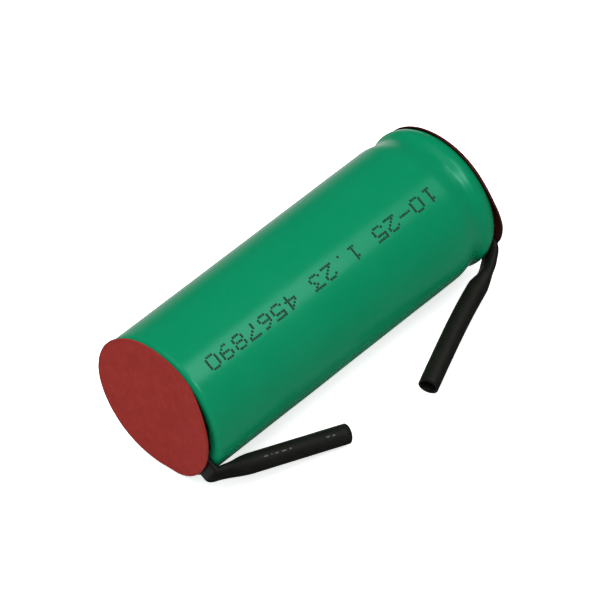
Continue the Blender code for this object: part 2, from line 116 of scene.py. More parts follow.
camera_data = bpy.data.cameras.new("studio_camera")
camera_data.lens = 300.0
camera_data.sensor_width = 36.0
camera_data.clip_start = 0.01
camera_data.clip_end = 10.0
camera = bpy.data.objects.new("studio_camera", camera_data)
back = Vector((
    math.sin(AZIMUTH) * math.cos(ELEVATION),
    -math.cos(AZIMUTH) * math.cos(ELEVATION),
    math.sin(ELEVATION),
))
camera.location = AIM + back * DISTANCE
camera.rotation_euler = back.to_track_quat("Z", "Y").to_euler()
bpy.context.scene.collection.objects.link(camera)
bpy.context.scene.camera = camera
print("camera at", [round(value / MM, 1) for value in camera.location], "mm")

# %% [markdown]
# ## A shared grain for every finish
# No real surface is one even colour. Film has faint clouds, paper has fibres and specks, and soft
# tubing has a fine tooth. One node group does all of them: a coarse noise for clouds and a fine noise
# for grain together pick between two colours and two roughnesses, and the fine noise raises a bump.
# Each material places the group with its own values, and keeps the shader itself.


# %% The grain group
def grain_group():
    """The node group that gives a colour, a roughness and a normal from two noises."""
    group = bpy.data.node_groups.new("clouds_and_grain", "ShaderNodeTree")
    inputs = (
        ("Vector", "NodeSocketVector"),
        ("Cloud Scale", "NodeSocketFloat"),
        ("Grain Scale", "NodeSocketFloat"),
        ("Grain Share", "NodeSocketFloat"),
        ("Low Colour", "NodeSocketColor"),
        ("High Colour", "NodeSocketColor"),
        ("Low Roughness", "NodeSocketFloat"),
        ("High Roughness", "NodeSocketFloat"),
        ("Bump Strength", "NodeSocketFloat"),
        ("Bump Height", "NodeSocketFloat"),
    )
    for name, kind in inputs:
        group.interface.new_socket(name, in_out="INPUT", socket_type=kind)
    outputs = (
        ("Colour", "NodeSocketColor"),
        ("Roughness", "NodeSocketFloat"),
        ("Normal", "NodeSocketVector"),
    )
    for name, kind in outputs:
        group.interface.new_socket(name, in_out="OUTPUT", socket_type=kind)
    nodes = group.nodes
    link = group.links.new
    given = nodes.new("NodeGroupInput")
    made = nodes.new("NodeGroupOutput")

    noises = []
    for scale_name, detail in (("Cloud Scale", 3.0), ("Grain Scale", 5.0)):
        texture = nodes.new("ShaderNodeTexNoise")
        texture.inputs["Detail"].default_value = detail
        texture.inputs["Roughness"].default_value = 0.6
        link(given.outputs["Vector"], texture.inputs["Vector"])
        link(given.outputs[scale_name], texture.inputs["Scale"])
        noises.append(texture.outputs["Fac"])
    clouds, grain = noises

    blend = nodes.new("ShaderNodeMix")
    link(given.outputs["Grain Share"], blend.inputs["Factor"])
    link(clouds, blend.inputs["A"])
    link(grain, blend.inputs["B"])
    spread = nodes.new("ShaderNodeMapRange")
    spread.inputs["From Min"].default_value = 0.32
    spread.inputs["From Max"].default_value = 0.68
    link(blend.outputs["Result"], spread.inputs["Value"])

    colour = nodes.new("ShaderNodeMix")
    colour.data_type = "RGBA"
    link(spread.outputs["Result"], colour.inputs["Factor"])
    link(given.outputs["Low Colour"], colour.inputs["A"])
    link(given.outputs["High Colour"], colour.inputs["B"])
    link(colour.outputs["Result"], made.inputs["Colour"])

    roughness = nodes.new("ShaderNodeMix")
    link(spread.outputs["Result"], roughness.inputs["Factor"])
    link(given.outputs["Low Roughness"], roughness.inputs["A"])
    link(given.outputs["High Roughness"], roughness.inputs["B"])
    link(roughness.outputs["Result"], made.inputs["Roughness"])

    bump = nodes.new("ShaderNodeBump")
    link(given.outputs["Bump Strength"], bump.inputs["Strength"])
    link(given.outputs["Bump Height"], bump.inputs["Distance"])
    link(grain, bump.inputs["Height"])
    link(bump.outputs["Normal"], made.inputs["Normal"])
    return group


GRAIN = grain_group()
print("group outputs:", [item.name for item in GRAIN.interface.items_tree if item.in_out == "OUTPUT"])


# %% A finish made with the grain group
SHADER_SOCKETS = {
    "metallic": "Metallic",
    "sheen_weight": "Sheen Weight",
    "specular_ior_level": "Specular IOR Level",
    "specular_tint": "Specular Tint",
}


def finish(name, low, high, rough, cloud, grain, share, bump, stretch=(1.0, 1.0, 1.0), **constants):
    """A material from two colours and two roughnesses, with clouds and grain sized in millimetres."""
    material = bpy.data.materials.new(name)
    material.use_nodes = True
    nodes = material.node_tree.nodes
    link = material.node_tree.links.new
    shader = nodes["Principled BSDF"]
    place = nodes.new("ShaderNodeTexCoord")
    mapping = nodes.new("ShaderNodeMapping")
    mapping.inputs["Scale"].default_value = stretch
    surface = nodes.new("ShaderNodeGroup")
    surface.node_tree = GRAIN
    values = {
        "Cloud Scale": 1 / (cloud * MM),
        "Grain Scale": 1 / (grain * MM),
        "Grain Share": share,
        "Low Colour": (*low, 1.0),
        "High Colour": (*high, 1.0),
        "Low Roughness": rough[0],
        "High Roughness": rough[1],
        "Bump Strength": bump[0],
        "Bump Height": bump[1] * MM,
    }
    for socket, value in values.items():
        surface.inputs[socket].default_value = value
    for constant, value in constants.items():
        shader.inputs[SHADER_SOCKETS[constant]].default_value = value
    link(place.outputs["Object"], mapping.inputs["Vector"])
    link(mapping.outputs["Vector"], surface.inputs["Vector"])
    link(surface.outputs["Colour"], shader.inputs["Base Color"])
    link(surface.outputs["Roughness"], shader.inputs["Roughness"])
    link(surface.outputs["Normal"], shader.inputs["Normal"])
    return material


# %% [markdown]
# ## The finishes that show
# The film is shrunk on hot, so it is glossy with the faintest orange peel. The end discs are pressed
# paper, dull and mottled with fibres. They are darker wherever a mesh attribute says so: glue darkens the
# rim, and painted shade darkens the underside, which shows where the paper lifts. The tubing is soft and
# satin. The code is dried ink that has sunk into the film, so it is a very dark green and not a pure black.

# %% Film and paper
film_finish = finish(
    "green_film", (0.0003, 0.172, 0.0735), (0.0008, 0.184, 0.080), (0.20, 0.27),
    cloud=9.0, grain=0.9, share=0.35, bump=(0.08, 0.02), specular_ior_level=0.5,
    specular_tint=(0.5, 1.0, 0.9, 1.0),
)
paper_finish = finish(
    "red_paper", (0.182, 0.0120, 0.0095), (0.244, 0.0225, 0.0175), (0.85, 0.95),
    cloud=1.1, grain=0.30, share=0.6, bump=(0.4, 0.03), specular_ior_level=0.12,
)
print("made", film_finish.name, "and", paper_finish.name)

# %% Glue and painted shade on the paper
# One dark red-brown serves two things: glue at a disc's rim, and painted shade on the paper's underside.
GLUE_AND_SHADE_COLOUR = (0.042, 0.0065, 0.0055, 1.0)
glue_and_painted_shade = paper_finish.node_tree.nodes.new("ShaderNodeAttribute")
glue_and_painted_shade.attribute_name = "glue_and_painted_shade"
darken = paper_finish.node_tree.nodes.new("ShaderNodeMix")
darken.data_type = "RGBA"
paper_link = paper_finish.node_tree.links.new
paper_link(glue_and_painted_shade.outputs["Fac"], darken.inputs["Factor"])
paper_link(paper_finish.node_tree.nodes["Group"].outputs["Colour"], darken.inputs["A"])
darken.inputs["B"].default_value = GLUE_AND_SHADE_COLOUR
paper_link(darken.outputs["Result"], paper_finish.node_tree.nodes["Principled BSDF"].inputs["Base Color"])
print("the paper darkens where", glue_and_painted_shade.attribute_name, "is 1")

# %% Tubing and ink
tube_finish = finish(
    "black_tubing", (0.0042, 0.0044, 0.0030), (0.0082, 0.0085, 0.0060), (0.48, 0.60),
    cloud=1.2, grain=0.16, share=0.5, bump=(0.3, 0.012), specular_ior_level=0.28,
)
ink_finish = finish(
    "code_ink", (0.0015, 0.020, 0.013), (0.0030, 0.038, 0.024), (0.42, 0.55),
    cloud=0.6, grain=0.12, share=0.5, bump=(0.2, 0.01), specular_ior_level=0.3,
)
mark_finish = finish(
    "tubing_ink", (0.035, 0.040, 0.040), (0.11, 0.12, 0.12), (0.5, 0.65),
    cloud=0.5, grain=0.1, share=0.6, bump=(0.2, 0.01), specular_ior_level=0.3,
)
print("made", [material.name for material in (tube_finish, ink_finish, mark_finish)])

# %% [markdown]
# ## The finishes inside
# The inner pieces are hidden while the cell is whole, but a cutaway shows them. Plated steel is bright
# with a fine drawn grain, the rolled sheets are dull powders, and the fleece between them is white and
# fibrous. A stretched pattern gives the metals their brushed look.

# %% One finish for each slot in the record
ALONG_CELL = (0.06, 1.0, 1.0)
slot_finishes = {
    "green_film": film_finish,
    "red_paper": paper_finish,
    "black_tube": tube_finish,
    "nickel_plated_steel": finish(
        "nickel_plate", (0.50, 0.48, 0.44), (0.66, 0.64, 0.60), (0.22, 0.34),
        cloud=4.0, grain=0.15, share=0.6, bump=(0.15, 0.004), stretch=ALONG_CELL, metallic=1.0,
    ),
    "nickel_strip": finish(
        "rolled_nickel", (0.55, 0.53, 0.49), (0.70, 0.68, 0.63), (0.28, 0.42),
        cloud=2.0, grain=0.10, share=0.7, bump=(0.2, 0.004), stretch=ALONG_CELL, metallic=1.0,
    ),
    "separator_fleece": finish(
        "white_fleece", (0.74, 0.73, 0.68), (0.90, 0.89, 0.85), (0.85, 0.95),
        cloud=1.0, grain=0.08, share=0.7, bump=(0.5, 0.03), sheen_weight=0.2,
    ),
    "positive_sheet": finish(
        "pasted_powder", (0.030, 0.036, 0.032), (0.075, 0.085, 0.075), (0.8, 0.95),
        cloud=1.5, grain=0.12, share=0.6, bump=(0.4, 0.02),
    ),
    "negative_sheet": finish(
        "pressed_powder", (0.060, 0.060, 0.066), (0.13, 0.13, 0.14), (0.6, 0.8),
        cloud=1.5, grain=0.12, share=0.6, bump=(0.4, 0.02),
    ),
    "insulating_card": finish(
        "cream_card", (0.52, 0.48, 0.38), (0.68, 0.64, 0.53), (0.8, 0.92),
        cloud=1.2, grain=0.12, share=0.6, bump=(0.35, 0.02),
    ),
    "gasket_plastic": finish(
        "gasket_nylon", (0.52, 0.51, 0.46), (0.64, 0.63, 0.58), (0.4, 0.52),
        cloud=3.0, grain=0.3, share=0.4, bump=(0.1, 0.01),
    ),
    "vent_rubber": finish(
        "vent_rubber", (0.010, 0.010, 0.010), (0.022, 0.022, 0.021), (0.65, 0.8),
        cloud=1.0, grain=0.1, share=0.6, bump=(0.3, 0.01),
    ),
}
for entry in frame["record"]["subparts"]:
    node = frame["nodes"][entry["node"]]
    node.data.materials.clear()
    node.data.materials.append(slot_finishes[entry["material_slot"]])

# %% [markdown]
# ## Turned pieces
# The film and the paper discs are round, so each starts as a profile of a few points beside the cell's
# axis, spun all the way round. The spin merges its last ring into its first, and the poles on the axis
# are merged too, before the faces are turned outwards.


# %% Helpers for a turned piece
def add_piece(name, shape, material, smooth_angle=40.0):
    """A finished bmesh as an object at the origin, with its place in its mesh."""
    mesh = bpy.data.meshes.new(name)
    shape.to_mesh(mesh)
    shape.free()
    mesh.materials.append(material)
    mesh.shade_smooth()
    mesh.set_sharp_from_angle(angle=smooth_angle * DEGREE)
    piece = bpy.data.objects.new(name, mesh)
    bpy.context.scene.collection.objects.link(piece)
    return piece


def turned_shape(profile, steps):
    """A bmesh of a profile of (radius, place along the axis), in millimetres from the cell's middle."""
    shape = bmesh.new()
    corners = [shape.verts.new(MIDDLE + Vector((along, 0.0, radius)) * MM) for radius, along in profile]
    edges = [shape.edges.new(pair) for pair in zip(corners, corners[1:])]
    bmesh.ops.spin(
        shape, geom=corners + edges, cent=MIDDLE, axis=(1.0, 0.0, 0.0), dvec=(0.0, 0.0, 0.0),
        angle=2 * math.pi, steps=steps, use_merge=True, use_duplicate=False,
    )
    bmesh.ops.remove_doubles(shape, verts=shape.verts[:], dist=0.001 * MM)
    bmesh.ops.recalc_face_normals(shape, faces=shape.faces[:])
    return shape


def arc(centre, radius, start, end, steps):
    """Points on an arc, with angles in degrees from the outward direction."""
    middle, along = centre
    angles = [(start + (end - start) * step / steps) * DEGREE for step in range(steps + 1)]
    return [(middle + radius * math.cos(angle), along + radius * math.sin(angle)) for angle in angles]


# %% [markdown]
# ## The shrunk film
# The film is one thin skin. It turns in over both ends, rounds the shoulder at the positive end and
# dips where the can below it is beaded. Shrinking leaves it slightly uneven, so after the spin a soft
# noise moves its points by a few hundredths of a millimetre, and more in the dip.

# %% Film profile
FILM_WALL = 0.15
POSITIVE_LIP = 5.8
NEGATIVE_LIP = 6.8
SHOULDER = 2.0
CORNER = 0.6
DIP_PLACE = HALF / MM - 3.0
DIP_BELOW = 2.6
DIP_ABOVE = 1.0
DIP_DEPTH = 0.33
DIP_SPACING = 0.2
WALL_SPACING = 1.2
WALL_END_ROOM = 1.0
FILM_STEPS = 180


def dip_share(along):
    """How far into the dip a place along the cell is, from 0 to 1."""
    offset = along - DIP_PLACE
    reach = DIP_ABOVE if offset > 0 else DIP_BELOW
    return 0.5 + 0.5 * math.cos(math.pi * min(abs(offset) / reach, 1.0))


radius_mm = RADIUS / MM
half_mm = HALF / MM
film_profile = [(POSITIVE_LIP, half_mm)]
film_profile += arc((radius_mm - SHOULDER, half_mm - SHOULDER), SHOULDER, 90, 0, 14)
along = half_mm - SHOULDER
while along > CORNER - half_mm + WALL_END_ROOM:
    along -= DIP_SPACING if along > DIP_PLACE - DIP_BELOW else WALL_SPACING
    film_profile.append((radius_mm - DIP_DEPTH * dip_share(along), along))
film_profile += arc((radius_mm - CORNER, CORNER - half_mm), CORNER, 0, -90, 8)
film_profile.append((NEGATIVE_LIP, -half_mm))
print("film profile has", len(film_profile), "points")

# %% Spin the film and let it shrink unevenly
SLACK = 0.018
DIP_SLACK = 0.05
SLACK_SIZE = 5.0
film_shape = turned_shape(film_profile, FILM_STEPS)
film_shape.normal_update()
for vert in film_shape.verts:
    along = (vert.co.x - MIDDLE.x) / MM
    broad = noise.noise(vert.co / (SLACK_SIZE * MM))
    slack = SLACK + DIP_SLACK * dip_share(along)
    vert.co += vert.normal * broad * slack * MM
film = add_piece("film", film_shape, film_finish)
wall = film.modifiers.new("wall", "SOLIDIFY")
wall.thickness = FILM_WALL * MM
wall.offset = -1.0
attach(film, "cell")
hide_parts("sleeve")
print("film has", len(film.data.polygons), "faces")

# %% [markdown]
# ## The paper discs
# Each end is closed by a disc of pressed paper. The lead leaves under it, so the paper bends outwards
# over the tube. At the negative end the whole side of the disc lifts like a flap. At the positive end
# the paper is drawn down over the rounded shoulder, and lifts only in a ridge over the tube. The disc
# is spun flat with a rounded edge, and then each point is moved out of the end face.

# %% How each disc is bent
PAPER = 0.25
PAPER_GAP = 0.02
CROWN_GAP = 0.07
CROWN = SHOULDER + CROWN_GAP
STEEPEST_SHARE = 0.9
DISCS = {
    "negative": {
        "radius": 8.085, "shift": -0.404, "fold": 3.1, "lift": 0.815, "curl": 1.38, "turn": 15.8,
        "onset": 0.5, "ridge": (120.0, 150.0), "drape": 0.0, "dark_rim": 0.1,
    },
    "positive": {
        "radius": 8.1, "shift": 0.0, "fold": 2.4, "lift": 0.5, "curl": 1.35, "turn": 0.0,
        "onset": 0.6, "ridge": (8.0, 77.0), "drape": 0.74, "dark_rim": 1.0,
    },
}


def ease(share):
    """0 below 0, 1 above 1, and a smooth step between."""
    share = min(max(share, 0.0), 1.0)
    return share * share * (3 - 2 * share)


def paper_offset(reach, across, disc):
    """How far the paper stands off its flat plane, in millimetres."""
    turn = disc["turn"] * DEGREE
    bent_reach = reach * math.cos(turn) - across * math.sin(turn)
    past_fold = bent_reach - disc["fold"]
    past_fold = (past_fold + math.hypot(past_fold, disc["onset"])) / 2
    share = min(past_fold / (disc["radius"] - disc["fold"]), 1.0)
    lift = disc["lift"] * (1 - (1 - share) ** disc["curl"])
    top, foot = disc["ridge"]
    angle = math.degrees(math.atan2(abs(across), reach))
    on_ridge = ease((foot - angle) / (foot - top))
    past_crown = max(math.hypot(across, reach) - (radius_mm - SHOULDER), 0.0)
    droop = CROWN - math.sqrt(CROWN**2 - min(past_crown, STEEPEST_SHARE * CROWN) ** 2)
    return lift * on_ridge - disc["drape"] * droop * (1 - on_ridge)


# %% Spin and bend the discs
DISC_RINGS = 22
DISC_STEPS = 120
EDGE_ROUND, TOP_ROUND, UNDER_ROUND = 0.05, 0.07, 0.06
EDGE_TAPER = 0.01
BACK_DEPTH = 0.03
FRAY, FRAY_SCALE = 0.004, 0.9
WARP, WARP_SCALE = 0.02, 0.25


def disc_profile(edge, under, top):
    """Half a disc's section: out along its top, round its soft edge, and back in underneath."""
    rings = [edge * step / DISC_RINGS for step in range(DISC_RINGS)]
    over = [(ring, top) for ring in rings] + [(edge - EDGE_ROUND, top)]
    rim = [(edge, top - TOP_ROUND), (edge - EDGE_TAPER, under + UNDER_ROUND)]
    return over + rim + [(edge - EDGE_ROUND, under)] + [(ring, under) for ring in reversed(rings)]


def build_disc(name, disc):
    """One disc, bent over its lead, with its glued rim and its painted shade underneath marked."""
    _, exit_way, outward, across_way = ENDS[name]
    side = outward.x
    edge = disc["radius"]
    under = half_mm + PAPER_GAP
    profile = disc_profile(edge, under, half_mm + PAPER_GAP + PAPER)
    shape = turned_shape([(ring, side * along) for ring, along in profile], DISC_STEPS)
    glue_and_shade_layer = shape.verts.layers.float.new("glue_and_painted_shade")
    for vert in shape.verts:
        from_axis = vert.co - MIDDLE
        reach = from_axis.dot(exit_way) / MM
        across = from_axis.dot(across_way) / MM
        fray = 1 + FRAY * noise.noise(Vector((reach, across, side)) * FRAY_SCALE)
        reach = reach * fray + disc["shift"]
        across *= fray
        warp = WARP * noise.noise(Vector((reach, across, side)) * WARP_SCALE)
        height = paper_offset(reach, across, disc) + warp
        depth = (from_axis.dot(outward) - HALF) / MM
        at_rim = math.hypot(from_axis.y, from_axis.z) > (edge - EDGE_ROUND - EDGE_TAPER) * MM
        at_back = depth < PAPER_GAP + BACK_DEPTH
        # The paper's underside is painted fully dark as shade, and its rim is darkened by the disc's share of
        # glue.
        vert[glue_and_shade_layer] = 1.0 if at_back else disc["dark_rim"] if at_rim else 0.0
        vert.co = at_end(ENDS[name], reach, depth + height, across)
    piece = add_piece(f"{name}_paper", shape, paper_finish, smooth_angle=50.0)
    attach(piece, "cell")
    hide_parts(f"{name}_end_disc")
    return piece


for name, disc in DISCS.items():
    piece = build_disc(name, disc)
    print(piece.name, "has", len(piece.data.polygons), "faces")

# %% [markdown]
# ## The insulating tubes
# A soft tube is slipped over each solder tab. Under the disc it is pressed nearly flat, it folds round
# the edge of the cell, and then it opens to its round shape. The tube is one ring of points, extruded
# along a smooth path; each new ring is set to the width and thickness that the tube has there, keeping
# its girth. A Solidify modifier then gives it a wall, so the open end is truly hollow.

# %% The tubes' sizes and routes
TUBE_ACROSS = 2.2
TUBE_WALL = 0.2
TUBE_SIDES = 40
ROUTES = {
    "negative": {
        "root": ((6.1, 0.31), (8.4, 0.36)), "flat": 0.56, "spring": 0.0, "fold": 0.38,
        "opens": ((-0.5, 0.0), (0.8, 0.22), (4.6, 1.0)),
    },
    "positive": {
        "root": ((7.02, 0.22), (7.95, -0.08)), "flat": 0.56, "spring": 0.55, "fold": 0.45,
        "opens": ((-0.4, 0.0), (0.8, 0.26), (2.2, 0.32), (4.6, 1.0)),
    },
}
SPRING_PEAK = 0.13
OPEN_END_DEPTH = 0.6
FOLD_END = 1.5
FOLD_HANDLE = 0.55
ROOT_DISTANCE = -1.0
ROOT_STEPS, FOLD_STEPS, FREE_STEPS = 6, 14, 30


def open_end(node, pivot):
    """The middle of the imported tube's open end: its points that lie farthest from the hinge."""
    points = [vert.co for vert in frame["nodes"][node].data.vertices]
    farthest = max((point - pivot).length for point in points)
    ring = [point for point in points if (point - pivot).length > farthest - OPEN_END_DEPTH * MM]
    return sum(ring, Vector()) / len(ring)


# %% The route of one lead
def lead_route(name, route):
    """Points on the lead's middle line, with how far along the free lead each one is."""
    axes = ENDS[name]
    pivot, exit_way, outward, across_way = axes
    root_start, root_end = (at_end(axes, *point) for point in route["root"])
    tip = open_end(f"{name}_tube", pivot)
    lead_way = (tip - pivot).normalized()
    length = (tip - pivot).length
    width_way = (across_way - lead_way * across_way.dot(lead_way)).normalized()
    aside_way = width_way.cross(lead_way)

    def on_lead(distance):
        """A point on the free lead, which springs a little to one side of a straight line."""
        share = distance / length / SPRING_PEAK
        aside = route["spring"] * share * math.exp(1 - share)
        return pivot + lead_way * distance + aside_way * aside * MM

    fold_end = FOLD_END * MM
    root_way = (root_end - root_start).normalized()
    handle_in = root_end + root_way * route["fold"] * MM
    handle_out = on_lead(FOLD_HANDLE * MM)
    fold = geometry.interpolate_bezier(root_end, handle_in, handle_out, on_lead(fold_end), FOLD_STEPS)
    root = [root_start.lerp(root_end, step / ROOT_STEPS) for step in range(ROOT_STEPS)]
    points = [(point, ROOT_DISTANCE * MM) for point in root]
    for step, point in enumerate(fold):
        points.append((point, fold_end * step / (len(fold) - 1)))
    for step in range(1, FREE_STEPS + 1):
        distance = fold_end + (length - fold_end) * step / FREE_STEPS
        points.append((on_lead(distance), distance))
    return points, lead_way, length


# %% Sections of the tube and of the strip inside it
STRIP_WIDTH = 1.5
STRIP_THICKNESS = 0.12
STRIP_CORNERS = ((1, 1), (-1, 1), (-1, -1), (1, -1))
CREASE = 0.05


def openness(distance, opens):
    """How round the tube is at a distance past its hinge, from 0, pressed flat, to 1."""
    for (here, share), (there, next_share) in zip(opens, opens[1:]):
        if distance < there:
            return share + (next_share - share) * ease((distance - here) / (there - here))
    return 1.0


def tube_section(distance, side, route):
    """One point (across, through) of the tube, whose girth stays the same as it opens."""
    angle = 2 * math.pi * (side + 0.5) / TUBE_SIDES
    opened = openness(distance, route["opens"])
    thickness = route["flat"] + (TUBE_ACROSS - route["flat"]) * opened
    width = thickness + math.pi * (TUBE_ACROSS - thickness) / 2
    across = thickness / 2 * math.cos(angle)
    across += math.copysign((width - thickness) / 2, across)
    crease = CREASE * noise.noise(Vector((distance, across, math.sin(angle)))) * (1 - opened)
    return across, thickness / 2 * math.sin(angle) + crease


def strip_section(_distance, side, _route):
    """One corner (across, through) of the nickel strip, which is the same all along."""
    across, through = STRIP_CORNERS[side]
    return across * STRIP_WIDTH / 2, through * STRIP_THICKNESS / 2


# %% Extrude a section along a route
def place_ring(ring, index, points, axes, section, route):
    """Moves a ring of points on to the route at one place, turned to face along it."""
    point, distance = points[index]
    before = points[max(index - 1, 0)][0]
    after = points[min(index + 1, len(points) - 1)][0]
    along = (after - before).normalized()
    across_way = (axes[3] - along * axes[3].dot(along)).normalized()
    through_way = across_way.cross(along)
    for side, vert in enumerate(ring):
        across, through = section(distance / MM, side, route)
        vert.co = point + across_way * across * MM + through_way * through * MM


def swept_shape(points, axes, sides, section, route):
    """A ring of points, extruded from place to place along a route."""
    shape = bmesh.new()
    ring = bmesh.ops.create_circle(shape, segments=sides, radius=MM)["verts"]
    place_ring(ring, 0, points, axes, section, route)
    for index in range(1, len(points)):
        edges = [edge for edge in shape.edges if all(vert in ring for vert in edge.verts)]
        grown = bmesh.ops.extrude_edge_only(shape, edges=edges)["geom"]
        fresh = {item for item in grown if isinstance(item, bmesh.types.BMVert)}
        ring = [
            next(edge.other_vert(vert) for edge in vert.link_edges if edge.other_vert(vert) in fresh)
            for vert in ring
        ]
        place_ring(ring, index, points, axes, section, route)
    return shape


def build_tube(name, route):
    """One tube along its lead's route, with a wall, in place of the imported tube."""
    axes = ENDS[name]
    points, lead_way, length = lead_route(name, route)
    shape = swept_shape(points, axes, TUBE_SIDES, tube_section, route)
    bmesh.ops.recalc_face_normals(shape, faces=shape.faces[:])
    piece = add_piece(f"{name}_tubing", shape, tube_finish, smooth_angle=60.0)
    wall = piece.modifiers.new("wall", "SOLIDIFY")
    wall.thickness = TUBE_WALL * MM
    wall.offset = -1.0
    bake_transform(piece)
    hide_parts(f"{name}_tube", f"{name}_tube_root")
    return points, lead_way, length


TUBES = {}
for name, route in ROUTES.items():
    TUBES[name] = build_tube(name, route)
    print(name, "tube is free for", round(TUBES[name][2] / MM, 1), "mm")

# %% [markdown]
# ## The strips inside the tubes
# A nickel strip runs down the middle of each tube and stops short of its open end, where a wire would
# be soldered. It is a flat bar that follows the same route as the tube, so that it never comes through
# the soft wall. Its two ends are open after the extrusion, and are filled.

# %% Build the strips
STRIP_START = 0.9
STRIP_END_IN_TUBE = 3.0
for name, route in ROUTES.items():
    points, lead_way, length = TUBES[name]
    inside = [
        place for place in points
        if STRIP_START * MM <= place[1] <= length - STRIP_END_IN_TUBE * MM
    ]
    shape = swept_shape(inside, ENDS[name], len(STRIP_CORNERS), strip_section, route)
    bmesh.ops.holes_fill(shape, edges=[edge for edge in shape.edges if edge.is_boundary])
    bmesh.ops.recalc_face_normals(shape, faces=shape.faces[:])
    strip = add_piece(f"{name}_tab_strip", shape, slot_finishes["nickel_strip"])
    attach(strip, f"{name}_lead")
    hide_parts(f"{name}_tab_leg")
    print(strip.name, "has", len(strip.data.polygons), "faces")

# %% [markdown]
# ## The printed code
# A line of dot-matrix characters runs along the film. Only plain digits are used here. Each character
# is five dots wide and seven high, and the ink dots touch each other from row to row. Each dot is a
# very flat cone laid against the round film. The seven numbers of a character are its rows from the
# top, and the bits of each number are the dots of that row.

# %% Dot patterns and places
DOT_ROWS = {
    "0": (14, 17, 17, 17, 17, 17, 14),
    "1": (4, 12, 4, 4, 4, 4, 14),
    "2": (14, 17, 1, 2, 4, 8, 31),
    "3": (31, 2, 4, 2, 1, 17, 14),
    "4": (2, 6, 10, 18, 31, 2, 2),
    "5": (31, 16, 30, 1, 1, 17, 14),
    "6": (6, 8, 16, 30, 17, 17, 14),
    "7": (31, 1, 2, 4, 8, 8, 8),
    "8": (14, 17, 17, 14, 17, 17, 14),
    "9": (14, 17, 17, 15, 1, 2, 12),
    "-": (0, 0, 0, 31, 0, 0, 0),
    ".": (0, 0, 0, 0, 0, 0, 4),
}
CODE = "10-25 1.23 4567890"
CODE_START = half_mm - 6.38
CHARACTER_PITCH = 1.9
COLUMN_PITCH = 0.31
ROW_PITCH = 0.238
TOP_ROW_ANGLE = 54.5 * DEGREE
DOT_COLUMNS = 5
DOT_RADIUS = 0.148
DOT_SEGMENTS = 12
INK_HEIGHT = 0.024


# %% Lay the dots on the film
def add_dot(shape, place, outward, radius, height):
    """A flat cone with its middle at a place and its narrow end outwards."""
    turn = outward.to_track_quat("Z", "X").to_matrix().to_4x4()
    bmesh.ops.create_cone(
        shape, cap_ends=True, segments=DOT_SEGMENTS, radius1=radius, radius2=radius * 0.86,
        depth=height, matrix=Matrix.Translation(place) @ turn,
    )


code_shape = bmesh.new()
dots = 0
for index, character in enumerate(CODE):
    for row, bits in enumerate(DOT_ROWS.get(character, ())):
        for column in range(DOT_COLUMNS):
            if not bits >> (DOT_COLUMNS - 1 - column) & 1:
                continue
            seed = Vector((index * 1.7, row * 0.9, column * 1.3))
            along = CODE_START - index * CHARACTER_PITCH - column * COLUMN_PITCH + 0.02 * noise.noise(seed)
            angle = TOP_ROW_ANGLE + row * ROW_PITCH * MM / RADIUS + 0.002 * noise.noise(seed * 2)
            outward = Vector((0.0, -math.cos(angle), math.sin(angle)))
            place = MIDDLE + Vector((along * MM, 0.0, 0.0)) + outward * (RADIUS + INK_HEIGHT / 2 * MM)
            radius = DOT_RADIUS * (1 + 0.10 * noise.noise(seed * 3))
            add_dot(code_shape, place, outward, radius * MM, INK_HEIGHT * MM)
            dots += 1
code = add_piece("printed_code", code_shape, ink_finish)
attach(code, "cell")
print("the code has", dots, "dots")

# %% [markdown]
# ## Faint marks on one tube
# Tubing is printed along its length, and short stretches keep only broken bits of that print. Here
# they are plain grey dashes, each one a flat cone stretched along the tube.

# %% Dashes on the negative tube
MARK_HALF_WIDTH = 0.09
MARK_HEIGHT = 0.02
MARK_SUNK = 0.002
MARKS_TURN, MARKS_WANDER = 28.0, 8.0
MARKS = ((6.0, 0.30), (6.7, 0.10), (7.3, 0.22), (8.2, 0.34), (9.0, 0.16), (13.6, 0.26), (14.3, 0.2))
_, lead_way, _ = TUBES["negative"]
across_way = ENDS["negative"][3]
across_way = (across_way - lead_way * across_way.dot(lead_way)).normalized()
sky_way = (Vector((0.0, 0.0, 1.0)) - lead_way * lead_way.z).normalized()
side_way = sky_way.cross(lead_way)
marks_shape = bmesh.new()
for distance, half_length in MARKS:
    turn = (MARKS_TURN + MARKS_WANDER * noise.noise(Vector((distance, 0.0, 0.0)))) * DEGREE
    outward = sky_way * math.cos(turn) - side_way * math.sin(turn)
    place = ENDS["negative"][0] + lead_way * distance * MM + outward * (TUBE_ACROSS / 2 - MARK_SUNK) * MM
    axes_of_mark = Matrix((lead_way, outward.cross(lead_way), outward)).transposed().to_4x4()
    size = Matrix.Diagonal((half_length, MARK_HALF_WIDTH, 1.0, 1.0))
    bmesh.ops.create_cone(
        marks_shape, cap_ends=True, segments=DOT_SEGMENTS, radius1=1.0 * MM, radius2=0.9 * MM,
        depth=MARK_HEIGHT * MM, matrix=Matrix.Translation(place) @ axes_of_mark @ size,
    )
marks = add_piece("tubing_marks", marks_shape, mark_finish)
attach(marks, "negative_lead")
print("marks:", len(MARKS))

# %% [markdown]
# ## Floor and light
# A small glossy thing is lit by what it mirrors. The world and a wide soft box overhead give an even
# white light from all sides. Three more soft boxes show only in the gloss: they draw the pale band
# along the film and the glints at its shoulder. For mirrored light the world is dim overhead, and
# bright low down behind the cell, like a pale table. The part of that table under the cell is darker.
# The floor glows just for the camera, as brightly as the world does, so that its edge never shows.

